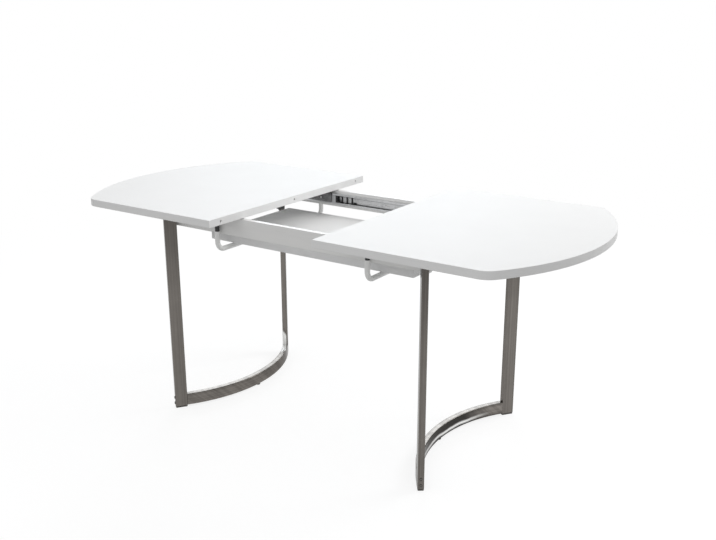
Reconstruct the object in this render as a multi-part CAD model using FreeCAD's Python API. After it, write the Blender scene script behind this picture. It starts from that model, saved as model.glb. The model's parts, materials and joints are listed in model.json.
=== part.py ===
import FreeCAD, Part
import math
import os

# Extending dining table, drawn pulled open.
# Millimetres. The origin is on the floor under the middle of the open table,
# +X runs along the table to the right, +Y to the back and +Z up.

Vector = FreeCAD.Vector
along = Vector(1, 0, 0)
across = Vector(0, 1, 0)
up = Vector(0, 0, 1)
origin = Vector(0, 0, 0)

# Table top
table_height = 750.0
table_width = 843.0
half_length = 700.0
opening = 390.0
opening_spare = 4.0
closed_gap = 0.2
top_thickness = 24.0
end_radius = 652.0
corner_radius = 55.0
edge_round = 1.0

# Dowels between the halves and the leaf boards
dowel_radius = 4.0
dowel_out = 14.0
dowel_in = 26.0
dowel_from_side = 51.5
dowel_play = 0.3
dowel_hole_spare = 2.0

# Leg frames of flat steel tube
tube_width = 42.0
tube_depth = 20.0
tube_wall = 1.5
tube_corner = 2.0
tube_bore_corner = 0.5
leg_from_inner_edge = 298.4
leg_from_side = 123.0
leg_turn = 36.0
bar_end_wall = 6.0
leg_plate_length = 100.0
leg_plate_width = 66.0
leg_plate_thickness = 4.0
leg_plate_clearance = 2.5
leg_plate_screw_inset = 10.0

# Bolts from the legs into the base bars
bolt_radius = 3.0
bolt_head_radius = 5.0
bolt_head_height = 3.0
bolt_height_shares = (0.25, 0.75)

# Glides under the legs and base bars
glide_height = 6.0
glide_inset = 0.5
glide_plug_play = 0.2
bar_glide_radius = 8.0
bar_glide_stem_radius = 3.0
bar_glide_stem_spare = 1.5

# Rails of the floating centre frame
rail_length = 996.0
rail_shift = -6.0
rail_height = 60.0
rail_thickness = 16.0
rail_below_top = 3.0
rail_leg_clearance = 3.5
rail_edge_round = 1.0
tie_width = 40.0
tie_thickness = 2.0
tie_from_rail_end = 30.0
tie_below_slide = 0.6
tie_head_gap = 0.5
tie_screw_bite = 12.0
tie_screw_pitch = 22.0

# Ball-bearing slides
slide_height = 38.0
slide_above_rail_bottom = 11.0
slide_wall = 1.5
channel_inset = 8.0
channel_depth = 11.0
channel_lip_depth = 1.2
channel_lip_height = 4.5
channel_screw_shares = (-0.47, -0.24, 0.0, 0.24, 0.47)
channel_slot_length = 16.0
channel_slot_radius = 2.5
channel_slot_shares = (0.022, 0.061)
channel_slot_rise = 1.0
channel_bead_height = 0.8
channel_bead_width = 2.5
channel_bead_from_screws = 0.7
runner_offset = 14.0
runner_length = 262.0
runner_stand_out = 1.2
bumper_plug = 12.0
bumper_head = 12.0
bumper_waist = 5.0
bumper_waist_share = 0.6
bumper_play = 0.3
ball_radius = 2.5
ball_clearance = 0.05
ball_pocket_play = 0.1
ball_pitch = 22.0
cage_length = 300.0
cage_head_gap = 0.5
cage_plate = 1.4
cage_runner_gap = 0.4
cage_lip_gap = 0.4
cage_wing = 2.4
cage_bar = 4.0
cage_window_margin = 2.0
cage_toe_length = 11.0
cage_toe_height = 8.0
cage_from_middle = 14.0
runner_gap = 3.6

# Angles that carry the halves on the runners
angle_length = 230.0
angle_wall = 2.0
angle_flange = 30.0
angle_below_slide_middle = 14.0
angle_from_runner_end = 18.0
angle_screw_shares = (0.1, 0.5, 0.9)
angle_stud_shares = (0.2, 0.5, 0.8)

# Hangers for the stored leaf
hanger_radius = 8.3
hanger_wall = 1.5
hanger_bend = 28.0
hanger_from_inner_edge = 98.0
hanger_drop = 116.8
plug_length = 53.0
plug_spigot_length = 30.0
plug_collar_radius = 7.2
plug_play = 0.05
plug_flange_length = 48.0
plug_flange_width = 18.0
plug_flange_corner = 3.0
plug_flange_thickness = 4.0
plug_flange_clearance = 3.0
plug_screw_spread = 34.0

# Leaf boards
leaf_play = 0.5
leaf_stored_gap = 0.3
leaf_stored_shift = 9.5
leaf_on_hanger = 0.3

# Slide bolt that locks the closed halves
latch_offset = -68.0
latch_length = 44.0
latch_width = 30.0
latch_height = 10.0
latch_lip = 3.0
latch_tail_height = 5.0
latch_from_edge = 1.0
latch_bolt_from_screws = 4.5
latch_bolt_thickness = 2.5
latch_bolt_rise = 1.0
latch_bolt_length = 38.0
latch_bolt_play = 0.3
latch_throw = 18.0
latch_tab_length = 7.0
latch_tab_width = 6.0
latch_tab_drop = 3.0
latch_tab_setback = 30.5
latch_screw_inset = 3.5
latch_screw_setback = 5.0
keeper_length = 24.0

# Screws
screw_radius = 2.0
screw_head_radius = 4.0
screw_head_height = 2.2
screw_bite = 14.0
screw_hole_play = 0.25
screw_pilot_play = 0.05
flat_head_height = 1.2
flat_head_radius = 4.5
stud_reach = 2.5

# One overrun serves every through cut
overrun = 1.0

# Places that follow from the sizes above
underside = table_height - top_thickness
top_middle = table_height - top_thickness / 2
inner_edge = opening / 2
full_opening = opening + 2 * opening_spare
outer_end = inner_edge + half_length
half_width = table_width / 2
travel = (opening - closed_gap) / 2
dowel_outer = half_width - dowel_from_side
dowel_places = (-dowel_outer, 0, dowel_outer)

turn = math.radians(leg_turn)
leg_x = inner_edge + leg_from_inner_edge
leg_y = half_width - leg_from_side
leg_wide = Vector(math.sin(turn), math.cos(turn), 0)
leg_inner_corner = leg_y - tube_width / 2 * math.cos(turn) - tube_depth / 2 * math.sin(turn)
leg_top = underside - leg_plate_thickness
bar_start = Vector(leg_x, leg_y, 0) - leg_wide * (tube_width / 2)
bar_radius = bar_start.y / math.sin(turn)
bar_centre = Vector(bar_start.x + bar_radius * math.cos(turn), 0, 0)
bar_middle = bar_centre.x - bar_radius
bolt_heights = [glide_height + share * tube_width for share in bolt_height_shares]

rail_outer = leg_inner_corner - rail_leg_clearance
rail_inner = rail_outer - rail_thickness
rail_top = underside - rail_below_top
rail_bottom = rail_top - rail_height
tie_x = rail_length / 2 - tie_from_rail_end
tie_flange = slide_above_rail_bottom - tie_below_slide
tie_screw_height = rail_bottom + tie_thickness + tie_head_gap + screw_head_radius
leg_plate_inner = rail_outer + leg_plate_clearance

slide_middle = rail_bottom + slide_above_rail_bottom + slide_height / 2
channel_half = slide_height / 2
channel_length = rail_length - 2 * channel_inset
ball_rise = channel_half - slide_wall - ball_clearance - ball_radius
cage_back = slide_wall + flat_head_height + cage_head_gap
cage_front = channel_depth - channel_lip_depth - cage_lip_gap
cage_half = ball_rise + cage_wing / 2
ball_depth = (cage_back + cage_front) / 2
runner_half = ball_rise - ball_radius - ball_clearance
runner_back = cage_back + cage_plate + cage_runner_gap
runner_front = channel_depth + runner_stand_out
cage_start = travel / 2 + cage_from_middle
runner_nearest = travel + runner_gap + bumper_head
angle_face = rail_inner - runner_front

hanger_x = inner_edge + hanger_from_inner_edge
hanger_y = rail_outer + plug_flange_clearance + plug_flange_width / 2
hanger_bar_height = underside - hanger_drop
hanger_top = underside - plug_length

board_length = full_opening - 2 * leaf_play
board_width = half_width
board_bottom = hanger_bar_height + hanger_radius + leaf_on_hanger
board_top = board_bottom + top_thickness
board_inner = leaf_stored_shift + leaf_stored_gap / 2
board_dowel = dowel_from_side - board_width / 2

latch_bottom = underside - latch_height
latch_edge = inner_edge + latch_from_edge
latch_tail_bottom = underside - latch_tail_height
latch_bolt_bottom = latch_tail_bottom + latch_bolt_rise
latch_screw_spread = latch_width - 2 * latch_screw_inset
latch_bolt_width = latch_screw_spread - 2 * latch_bolt_from_screws


# Shape helpers

def block(x_range, y_range, z_range):
    """Box between the two ends of each range."""
    size = [high - low for low, high in (x_range, y_range, z_range)]
    return Part.makeBox(*size, Vector(x_range[0], y_range[0], z_range[0]))


def rod(radius, length, start, direction):
    return Part.makeCylinder(radius, length, start, direction)


def to_left(shape):
    return shape.mirror(origin, along)


def to_front(shape):
    return shape.mirror(origin, across)


def rounded_rectangle(width, height, radius):
    """Closed wire in the XY plane, centred on the origin."""
    inner_x = width / 2 - radius
    inner_y = height / 2 - radius
    arcs = []
    for quarter, (side_x, side_y) in enumerate(((1, 1), (-1, 1), (-1, -1), (1, -1))):
        centre = Vector(side_x * inner_x, side_y * inner_y, 0)
        arcs.append(Part.makeCircle(radius, centre, up, 90 * quarter, 90 * quarter + 90))
    edges = []
    for arc, following in zip(arcs, arcs[1:] + arcs[:1]):
        edges.append(arc)
        edges.append(Part.makeLine(arc.Vertexes[-1].Point, following.Vertexes[0].Point))
    return Part.Wire(edges)


def rounded_prism(width, depth, radius, height, base):
    prism = Part.Face(rounded_rectangle(width, depth, radius)).extrude(up * height)
    prism.translate(base)
    return prism


def depth_profile(points, x_range):
    """Extrude a section along X. Its points are a depth from the back rail's inner face and a height."""
    corners = [Vector(x_range[0], rail_inner - depth, slide_middle + rise) for depth, rise in points]
    face = Part.Face(Part.makePolygon(corners + corners[:1]))
    return face.extrude(along * (x_range[1] - x_range[0]))


def depth_block(x_range, depth_range, rise_range):
    y_range = (rail_inner - depth_range[1], rail_inner - depth_range[0])
    z_range = [slide_middle + rise for rise in rise_range]
    return block(x_range, y_range, z_range)


def eased(shape, radius):
    """Round every edge that lies flat in the lowest or highest face."""
    box = shape.BoundBox
    flat = [edge for edge in shape.Edges
            if edge.BoundBox.ZLength < radius
            and (edge.BoundBox.ZMin > box.ZMax - radius or edge.BoundBox.ZMax < box.ZMin + radius)]
    return shape.makeFillet(radius, flat)


def save(node, *solids):
    shape = solids[0] if len(solids) == 1 else Part.makeCompound(solids)
    shape.exportStep(f"parts/{node}.step")
    print(node, len(shape.Solids), "solids", round(shape.Volume), "mm3")


# Screws, placed by the seat that the head bears on

def wood_screw(x, y, seat):
    """Screw that rises through a fitting into the underside of the top."""
    head = rod(screw_head_radius, screw_head_height, Vector(x, y, seat - screw_head_height), up)
    shank = rod(screw_radius, underside + screw_bite - seat, Vector(x, y, seat), up)
    return head.fuse(shank)


def screw_hole(x, y, bottom, top):
    """Clearance hole through a fitting, for a screw that rises through it."""
    start = Vector(x, y, bottom - overrun)
    return rod(screw_radius + screw_hole_play, top - bottom + 2 * overrun, start, up)


def pilot_hole(x, y):
    """Blind hole in the top for a screw from below."""
    start = Vector(x, y, underside - overrun)
    return rod(screw_radius + screw_pilot_play, screw_bite + screw_pilot_play + overrun, start, up)


# Top and leaf boards

def top_outline():
    """Plan of the right half: straight inner edge and sides, an arc at the end, rounded corners."""
    arc_centre = outer_end - end_radius
    corner_y = half_width - corner_radius
    reach = math.sqrt((end_radius - corner_radius) ** 2 - corner_y ** 2)
    corner_x = arc_centre + reach
    stretch = end_radius / (end_radius - corner_radius)
    meet = Vector(arc_centre + reach * stretch, corner_y * stretch, 0)
    lean = (math.pi / 2 + math.atan2(corner_y, reach)) / 2
    middle = Vector(corner_x + corner_radius * math.cos(lean), corner_y + corner_radius * math.sin(lean), 0)
    side = Vector(corner_x, half_width, 0)
    inner = Vector(inner_edge, half_width, 0)

    def front(point):
        return Vector(point.x, -point.y, 0)

    edges = [
        Part.makeLine(front(inner), front(side)),
        Part.Arc(front(side), front(middle), front(meet)).toShape(),
        Part.Arc(front(meet), Vector(outer_end, 0, 0), meet).toShape(),
        Part.Arc(meet, middle, side).toShape(),
        Part.makeLine(side, inner),
        Part.makeLine(inner, front(inner)),
    ]
    return Part.Wire(edges)


def half_top(screw_places, dowel_hole_radius, dowel_hole_depth):
    """Right half of the top, with its pilot holes and the dowel holes in its inner edge."""
    top = Part.Face(top_outline()).extrude(up * top_thickness)
    top.translate(up * underside)
    top = eased(top, edge_round)
    holes = [pilot_hole(x, y) for x, y in screw_places]
    for y in dowel_places:
        start = Vector(inner_edge - overrun, y, top_middle)
        holes.append(rod(dowel_hole_radius, dowel_hole_depth + overrun, start, along))
    return top.cut(holes)


def dowel_pin(x, y, z):
    """Pin that stands out of an edge at x, towards -X."""
    return rod(dowel_radius, dowel_out + dowel_in, Vector(x - dowel_out, y, z), along)


def leaf_board():
    """Stored board on the right: a pin in its inner edge, a hole and a half notch in its outer edge."""
    outer = board_inner + board_length
    middle = board_bottom + top_thickness / 2
    board = block((board_inner, outer), (-board_width / 2, board_width / 2), (board_bottom, board_top))
    board = eased(board, edge_round)
    hole_depth = dowel_out + dowel_hole_spare
    cuts = [rod(dowel_radius + screw_pilot_play, dowel_in + screw_pilot_play + overrun,
                Vector(board_inner - overrun, board_dowel, middle), along)]
    for y in (board_dowel, board_width / 2):
        start = Vector(outer - hole_depth, y, middle)
        cuts.append(rod(dowel_radius + dowel_play, hole_depth + overrun, start, along))
    return board.cut(cuts), dowel_pin(board_inner, board_dowel, middle)


# Leg frames: right back leg, its plate and glide, and the right base bar

def on_leg(shape):
    """Turn a shape drawn on the origin into the leg's plan direction and stand it at the leg."""
    shape.rotate(origin, up, 90 - leg_turn)
    shape.translate(Vector(leg_x, leg_y, 0))
    return shape


def bolt_rods(radius, start_from_outside, length):
    """Rods along the leg's wide direction, at each bolt's height, from the outer narrow face inward."""
    face = Vector(leg_x, leg_y, 0) + leg_wide * (tube_width / 2 + start_from_outside)
    return [rod(radius, length, face + up * height, -leg_wide) for height in bolt_heights]


def leg():
    height = leg_top - glide_height
    outer = rounded_prism(tube_width, tube_depth, tube_corner, height, up * glide_height)
    bore = rounded_prism(tube_width - 2 * tube_wall, tube_depth - 2 * tube_wall, tube_bore_corner,
                         height + 2 * overrun, up * (glide_height - overrun))
    holes = bolt_rods(bolt_radius + screw_hole_play, overrun, tube_width + 2 * overrun)
    return on_leg(outer.cut(bore)).cut(holes)


def leg_bolts():
    shanks = bolt_rods(bolt_radius, 0, tube_width + bar_end_wall)
    heads = bolt_rods(bolt_head_radius, bolt_head_height, bolt_head_height)
    return [head.fuse(shank) for head, shank in zip(heads, shanks)]


def leg_glide():
    foot = rounded_prism(tube_width - 2 * glide_inset, tube_depth - 2 * glide_inset, tube_corner,
                         glide_height, origin)
    inside = 2 * (tube_wall + glide_plug_play)
    plug_length = bolt_heights[0] - bolt_head_radius - glide_height
    plug = rounded_prism(tube_width - inside, tube_depth - inside, tube_bore_corner,
                         plug_length, up * glide_height)
    return on_leg(foot.fuse(plug))


def leg_plate_screw_places():
    rows_x = leg_plate_length / 2 - leg_plate_screw_inset
    outer_row = leg_plate_inner + leg_plate_width - leg_plate_screw_inset
    rows_y = (leg_plate_inner + leg_plate_screw_inset, outer_row)
    return [(leg_x + side * rows_x, y) for side in (-1, 1) for y in rows_y]


def leg_plate():
    plate = block((leg_x - leg_plate_length / 2, leg_x + leg_plate_length / 2),
                  (leg_plate_inner, leg_plate_inner + leg_plate_width), (leg_top, underside))
    return plate.cut([screw_hole(x, y, leg_top, underside) for x, y in leg_plate_screw_places()])


def bar_sweep(width, depth, corner, half_turn):
    """Flat section stood on edge and swept along the base bar's arc, half_turn degrees to each side."""
    face = Part.Face(rounded_rectangle(depth, width, corner))
    face.rotate(origin, along, 90)
    face.translate(Vector(bar_middle, 0, glide_height + tube_width / 2))
    face.rotate(bar_centre, up, -half_turn)
    return face.revolve(bar_centre, up, 2 * half_turn)


def base_bar():
    """Arched bar between the feet of the right legs, hollow between its two end walls."""
    outer = bar_sweep(tube_width, tube_depth, tube_corner, leg_turn)
    wall_turn = math.degrees(bar_end_wall / bar_radius)
    bore = bar_sweep(tube_width - 2 * tube_wall, tube_depth - 2 * tube_wall, tube_bore_corner,
                     leg_turn - wall_turn)
    back_holes = bolt_rods(bolt_radius + screw_pilot_play, overrun, tube_width + 2 * bar_end_wall)
    cuts = [bore] + back_holes + [to_front(hole) for hole in back_holes]
    stem_hole = rod(bar_glide_stem_radius + screw_pilot_play, tube_wall + overrun + glide_height,
                    Vector(bar_middle, 0, 0), up)
    return outer.cut(cuts + [stem_hole])


def bar_glide():
    foot = rod(bar_glide_radius, glide_height, Vector(bar_middle, 0, 0), up)
    stem_length = glide_height + tube_wall + bar_glide_stem_spare
    stem = rod(bar_glide_stem_radius, stem_length, Vector(bar_middle, 0, 0), up)
    return foot.fuse(stem).removeSplitter()


# Floating centre frame: back rail, right tie and back channel

def channel_screw_places():
    return [share * channel_length for share in channel_screw_shares]


def tie_screw_places():
    return [tie_x + side * tie_screw_pitch / 2 for side in (-1, 1)]


def back_rail():
    ends = (rail_shift - rail_length / 2, rail_shift + rail_length / 2)
    rail = block(ends, (rail_inner, rail_outer), (rail_bottom, rail_top))
    rail = eased(rail, rail_edge_round)
    pilot = screw_radius + screw_pilot_play
    holes = [rod(pilot, rail_thickness / 2 + overrun, Vector(x, rail_inner - overrun, slide_middle), across)
             for x in channel_screw_places()]
    for x in tie_screw_places():
        for side in (-1, 1):
            start = Vector(side * x, rail_inner - overrun, tie_screw_height)
            holes.append(rod(pilot, tie_screw_bite + screw_pilot_play + overrun, start, across))
    return rail.cut(holes)


def cross_tie():
    """Strip between the rails, with its ends turned up against their inner faces."""
    x_range = (tie_x - tie_width / 2, tie_x + tie_width / 2)
    strip = block(x_range, (-rail_inner, rail_inner), (rail_bottom, rail_bottom + tie_thickness))
    turned_up = block(x_range, (rail_inner - tie_thickness, rail_inner), (rail_bottom, rail_bottom + tie_flange))
    tie = strip.fuse([turned_up, to_front(turned_up)]).removeSplitter()
    holes = [rod(screw_radius + screw_hole_play, tie_thickness + 2 * overrun,
                 Vector(x, rail_inner + overrun, tie_screw_height), -across) for x in tie_screw_places()]
    return tie.cut(both_rows(holes))


def tie_screws():
    screws = []
    for x in tie_screw_places():
        seat = Vector(x, rail_inner - tie_thickness, tie_screw_height)
        head = rod(screw_head_radius, screw_head_height, seat, -across)
        shank = rod(screw_radius, tie_thickness + tie_screw_bite, seat, across)
        screws.append(head.fuse(shank))
    return screws


def back_channel():
    """Outer member of the slide: a C section with turned-in lips and two beads, flat on the rail."""
    half = channel_half
    web = half - slide_wall
    lip = web - channel_lip_height
    lip_back = channel_depth - channel_lip_depth
    points = [(0, -half), (channel_depth, -half), (channel_depth, -lip), (lip_back, -lip), (lip_back, -web),
              (slide_wall, -web), (slide_wall, web), (lip_back, web), (lip_back, lip), (channel_depth, lip),
              (channel_depth, half), (0, half)]
    reach = (-channel_length / 2, channel_length / 2)
    channel = depth_profile(points, reach)
    bead = flat_head_radius + channel_bead_from_screws
    for side in (-1, 1):
        rises = sorted((side * bead, side * (bead + channel_bead_width)))
        channel = channel.fuse(depth_block(reach, (0, slide_wall + channel_bead_height), rises))
    channel = channel.removeSplitter()
    cuts = [rod(screw_radius + screw_hole_play, slide_wall + 2 * overrun,
                Vector(x, rail_inner + overrun, slide_middle), -across) for x in channel_screw_places()]
    for share in channel_slot_shares:
        base = Vector(share * channel_length, rail_inner + overrun, slide_middle + channel_slot_rise)
        outline = rounded_rectangle(channel_slot_length, 2 * channel_slot_radius, channel_slot_radius / 2)
        slot = Part.Face(outline)
        slot.rotate(origin, along, 90)
        slot.translate(base)
        cuts.append(slot.extrude(-across * (slide_wall + 2 * overrun)))
    return channel.cut(cuts)


def channel_screws():
    screws = []
    for x in channel_screw_places():
        seat = Vector(x, rail_inner - slide_wall, slide_middle)
        head = rod(flat_head_radius, flat_head_height, seat, -across)
        shank = rod(screw_radius, slide_wall + rail_thickness / 2, seat, across)
        screws.append(head.fuse(shank))
    return screws


# Right back runner, its bumper, cage and balls, and the angle that hangs it under the top

def angle_stud_places(start):
    return [start + angle_from_runner_end + share * angle_length for share in angle_stud_shares]


def angle_screw_places(start):
    y = angle_face - angle_wall - (angle_flange - angle_wall) / 2
    return [(start + angle_from_runner_end + share * angle_length, y) for share in angle_screw_shares]


def runner(start):
    """Inner member: a C section with its web to the middle of the table."""
    half = runner_half
    web = half - slide_wall
    web_back = runner_front - slide_wall
    points = [(runner_front, -half), (runner_back, -half), (runner_back, -web), (web_back, -web),
              (web_back, web), (runner_back, web), (runner_back, half), (runner_front, half)]
    member = depth_profile(points, (start, start + runner_length))
    holes = []
    for x in angle_stud_places(start):
        face = Vector(x, angle_face - overrun, slide_middle)
        holes.append(rod(screw_radius + screw_hole_play, runner_front, face, across))
    return member.cut(holes)


def bumper(start):
    """Plastic stop: a plug in the end of the runner, and a head with a narrow waist that covers the end."""
    rise = runner_half - slide_wall - bumper_play
    deep = runner_front - slide_wall - bumper_play
    head_rise = runner_half - bumper_play
    plug = depth_block((start - bumper_head, start + bumper_plug), (runner_back, deep), (-rise, rise))
    head = depth_block((start - bumper_head, start), (runner_back, runner_front), (-head_rise, head_rise))
    waist_rise = bumper_waist_share * head_rise
    waist = depth_block((start - bumper_head - overrun, start - bumper_head + bumper_waist),
                        (runner_back - overrun, runner_front + overrun), (-waist_rise, waist_rise))
    return plug.fuse(head).removeSplitter().cut(waist)


def ball_places():
    count = int(cage_length // ball_pitch) - 1
    first = cage_start + (cage_length - (count - 1) * ball_pitch) / 2
    return [(first + step * ball_pitch, side * ball_rise) for step in range(count) for side in (-1, 1)]


def cage():
    """Ball cage: a ladder of thin plastic between two pocketed edges, with a toe at its inner end."""
    plate_front = cage_back + cage_plate
    inside = cage_half - cage_wing
    x_range = (cage_start, cage_start + cage_length)
    points = [(cage_back, -cage_half), (cage_front, -cage_half), (cage_front, -inside),
              (plate_front, -inside), (plate_front, inside), (cage_front, inside),
              (cage_front, cage_half), (cage_back, cage_half)]
    ladder = depth_profile(points, x_range)
    cuts = []
    for x, rise in ball_places():
        start = Vector(x, rail_inner - ball_depth, slide_middle + rise - cage_wing)
        cuts.append(rod(ball_radius + ball_pocket_play, 2 * cage_wing, start, up))
    window = (ball_pitch - cage_bar) / 2
    window_rise = inside - cage_window_margin
    through = (cage_back - overrun, plate_front + overrun)
    window_places = [x for x, rise in ball_places()[::2]]
    for x in window_places:
        cuts.append(depth_block((x - window, x + window), through, (-window_rise, window_rise)))
    open_end = window_places[0] - window - cage_bar
    toe_top = cage_toe_height - inside
    cuts.append(depth_block((cage_start - overrun, open_end), through, (toe_top, window_rise)))
    cuts.append(depth_block((cage_start + cage_toe_length, open_end), through, (-window_rise, window_rise)))
    return ladder.cut(cuts)


def balls():
    return [Part.makeSphere(ball_radius, Vector(x, rail_inner - ball_depth, slide_middle + rise))
            for x, rise in ball_places()]


def mounting_angle(start):
    """Steel angle: one wall on the runner's web, one flange on the underside of the top."""
    x_range = (start + angle_from_runner_end, start + angle_from_runner_end + angle_length)
    bottom = slide_middle - angle_below_slide_middle
    wall = block(x_range, (angle_face - angle_wall, angle_face), (bottom, underside))
    flange = block(x_range, (angle_face - angle_flange, angle_face), (underside - angle_wall, underside))
    cuts = [screw_hole(x, y, underside - angle_wall, underside) for x, y in angle_screw_places(start)]
    for x in angle_stud_places(start):
        face = Vector(x, angle_face + overrun, slide_middle)
        cuts.append(rod(screw_radius + screw_hole_play, angle_wall + 2 * overrun, face, -across))
    return wall.fuse(flange).removeSplitter().cut(cuts)


def angle_studs(start):
    """Short screws that hold the angle on the runner."""
    studs = []
    for x in angle_stud_places(start):
        seat = Vector(x, angle_face - angle_wall, slide_middle)
        head = rod(screw_head_radius, screw_head_height, seat, -across)
        shank = rod(screw_radius, angle_wall + slide_wall + stud_reach, seat, across)
        studs.append(head.fuse(shank))
    return studs


# Right hanger and its back plug

def hanger_sweep(radius, spare):
    """Round bar along the hanger's U: down the back arm, across, and up the front arm."""
    top = hanger_top + spare
    low = hanger_bar_height
    arm = hanger_y
    inside = arm - hanger_bend
    start = low + hanger_bend
    slack = hanger_bend * (1 - math.sqrt(0.5))

    def point(y, z):
        return Vector(hanger_x, y, z)

    path = Part.Wire([
        Part.makeLine(point(arm, top), point(arm, start)),
        Part.Arc(point(arm, start), point(arm - slack, low + slack), point(inside, low)).toShape(),
        Part.makeLine(point(inside, low), point(-inside, low)),
        Part.Arc(point(-inside, low), point(slack - arm, low + slack), point(-arm, start)).toShape(),
        Part.makeLine(point(-arm, start), point(-arm, top)),
    ])
    section = Part.Wire(Part.makeCircle(radius, point(arm, top), up))
    return path.makePipeShell([section], True, False)


def hanger():
    return hanger_sweep(hanger_radius, 0).cut(hanger_sweep(hanger_radius - hanger_wall, overrun))


def plug_screw_places():
    return [(hanger_x + side * plug_screw_spread / 2, hanger_y) for side in (-1, 1)]


def hanger_plug():
    """Plastic plug under the top: a flange for two screws, a collar, and a spigot in the hanger's arm."""
    seat = underside - plug_flange_thickness
    flange = rounded_prism(plug_flange_length, plug_flange_width, plug_flange_corner, plug_flange_thickness,
                           Vector(hanger_x, hanger_y, seat))
    collar = rod(plug_collar_radius, plug_length, Vector(hanger_x, hanger_y, hanger_top), up)
    spigot_start = Vector(hanger_x, hanger_y, hanger_top - plug_spigot_length)
    spigot = rod(hanger_radius - hanger_wall - plug_play, plug_spigot_length, spigot_start, up)
    holes = [screw_hole(x, y, seat, underside) for x, y in plug_screw_places()]
    return flange.fuse([collar, spigot]).removeSplitter().cut(holes)


# Slide bolt on the left half and its keeper on the right half, both drawn on the right

def latch_screw_seats(length):
    """Place and seat of the screws, in two rows through the tail."""
    rows = (latch_lip + latch_screw_setback, length - latch_screw_setback)
    return [(latch_edge + setback, latch_offset + side * latch_screw_spread / 2, latch_tail_bottom)
            for setback in rows for side in (-1, 1)]


def latch_case(length):
    """Lip under the inner edge and a thin tail behind it, with a guide for the bolt through both."""
    half = latch_width / 2
    y_range = (latch_offset - half, latch_offset + half)
    lip = block((latch_edge, latch_edge + latch_lip), y_range, (latch_bottom, underside))
    tail = block((latch_edge, latch_edge + length), y_range, (latch_tail_bottom, underside))
    guide = latch_bolt_width / 2 + latch_bolt_play
    guide_top = latch_bolt_bottom + latch_bolt_thickness + latch_bolt_play
    guide_cut = block((latch_edge - overrun, latch_edge + length + overrun),
                      (latch_offset - guide, latch_offset + guide),
                      (latch_bolt_bottom - latch_bolt_play, guide_top))
    holes = [screw_hole(x, y, seat, underside) for x, y, seat in latch_screw_seats(length)]
    return lip.fuse(tail).removeSplitter().cut([guide_cut] + holes)


def latch_housing():
    half = latch_tab_width / 2 + latch_bolt_play
    start = latch_edge + latch_tab_setback - latch_throw - latch_bolt_play
    slot = block((start, latch_edge + latch_tab_setback + latch_tab_length + latch_bolt_play),
                 (latch_offset - half, latch_offset + half),
                 (latch_tail_bottom - overrun, latch_bolt_bottom))
    return latch_case(latch_length).cut(slot)


def latch_bolt():
    start = latch_edge + latch_bolt_play
    half = latch_bolt_width / 2
    bolt = block((start, start + latch_bolt_length), (latch_offset - half, latch_offset + half),
                 (latch_bolt_bottom, latch_bolt_bottom + latch_bolt_thickness))
    tab_start = latch_edge + latch_tab_setback
    tab = block((tab_start, tab_start + latch_tab_length),
                (latch_offset - latch_tab_width / 2, latch_offset + latch_tab_width / 2),
                (latch_tail_bottom - latch_tab_drop, latch_bolt_bottom))
    return bolt.fuse(tab).removeSplitter()


def both_rows(shapes):
    """Shapes of the back row with their copies in the front row."""
    return shapes + [to_front(shape) for shape in shapes]


def half_screw_seats(latch_piece_length, runner_start):
    """Place and seat of each screw that holds a fitting under the right half."""
    back = [(x, y, leg_top) for x, y in leg_plate_screw_places()]
    back += [(x, y, underside - angle_wall) for x, y in angle_screw_places(runner_start)]
    back += [(x, y, underside - plug_flange_thickness) for x, y in plug_screw_places()]
    front = [(x, -y, seat) for x, y, seat in back]
    return back + front + latch_screw_seats(latch_piece_length)


def save_half(side, turned, runner_start, latch_piece_length, dowel_hole_radius, dowel_hole_depth):
    """Write every piece of one half. turned brings a piece drawn on the right to that side."""
    seats = half_screw_seats(latch_piece_length, runner_start)
    places = [(x, y) for x, y, seat in seats]
    save(f"{side}_top", turned(half_top(places, dowel_hole_radius, dowel_hole_depth)))
    rows = (("front", to_front), ("back", lambda shape: shape))
    for row, placed in rows:
        save(f"{side}_{row}_leg", turned(placed(leg())))
        save(f"{side}_{row}_leg_plate", turned(placed(leg_plate())))
        save(f"{side}_{row}_hanger_plug", turned(placed(hanger_plug())))
        save(f"{side}_{row}_angle", turned(placed(mounting_angle(runner_start))))
        save(f"{side}_{row}_runner", turned(placed(runner(runner_start))))
        save(f"{side}_{row}_cage", turned(placed(cage())))
    save(f"{side}_base_bar", turned(base_bar()))
    save(f"{side}_frame_bolts", *[turned(bolt) for bolt in both_rows(leg_bolts())])
    save(f"{side}_glides", *[turned(glide) for glide in both_rows([leg_glide()]) + [bar_glide()]])
    save(f"{side}_hanger", turned(hanger()))
    save(f"{side}_runner_bumpers", *[turned(stop) for stop in both_rows([bumper(runner_start)])])
    save(f"{side}_slide_balls", *[turned(ball) for ball in both_rows(balls())])
    screws = [wood_screw(*seat) for seat in seats] + both_rows(angle_studs(runner_start))
    save(f"{side}_screws", *[turned(screw) for screw in screws])


os.makedirs("parts", exist_ok=True)

save_half("left", to_left, runner_nearest - runner_offset, latch_length, dowel_radius + dowel_play,
          dowel_out + dowel_hole_spare)
save_half("right", lambda shape: shape, runner_nearest + runner_offset, keeper_length,
          dowel_radius + screw_pilot_play, dowel_in + screw_pilot_play)
save("right_dowel_pins", *[dowel_pin(inner_edge, y, top_middle) for y in dowel_places])
save("latch_housing", to_left(latch_housing()))
save("latch_bolt", to_left(latch_bolt()))
save("latch_keeper", latch_case(keeper_length))

save("back_rail", back_rail())
save("front_rail", to_front(back_rail()))
save("back_channel", back_channel())
save("front_channel", to_front(back_channel()))
save("right_cross_tie", cross_tie())
save("left_cross_tie", to_left(cross_tie()))
save("channel_screws", *both_rows(channel_screws()))
right_tie_screws = both_rows(tie_screws())
save("tie_screws", *right_tie_screws, *[to_left(screw) for screw in right_tie_screws])

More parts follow.
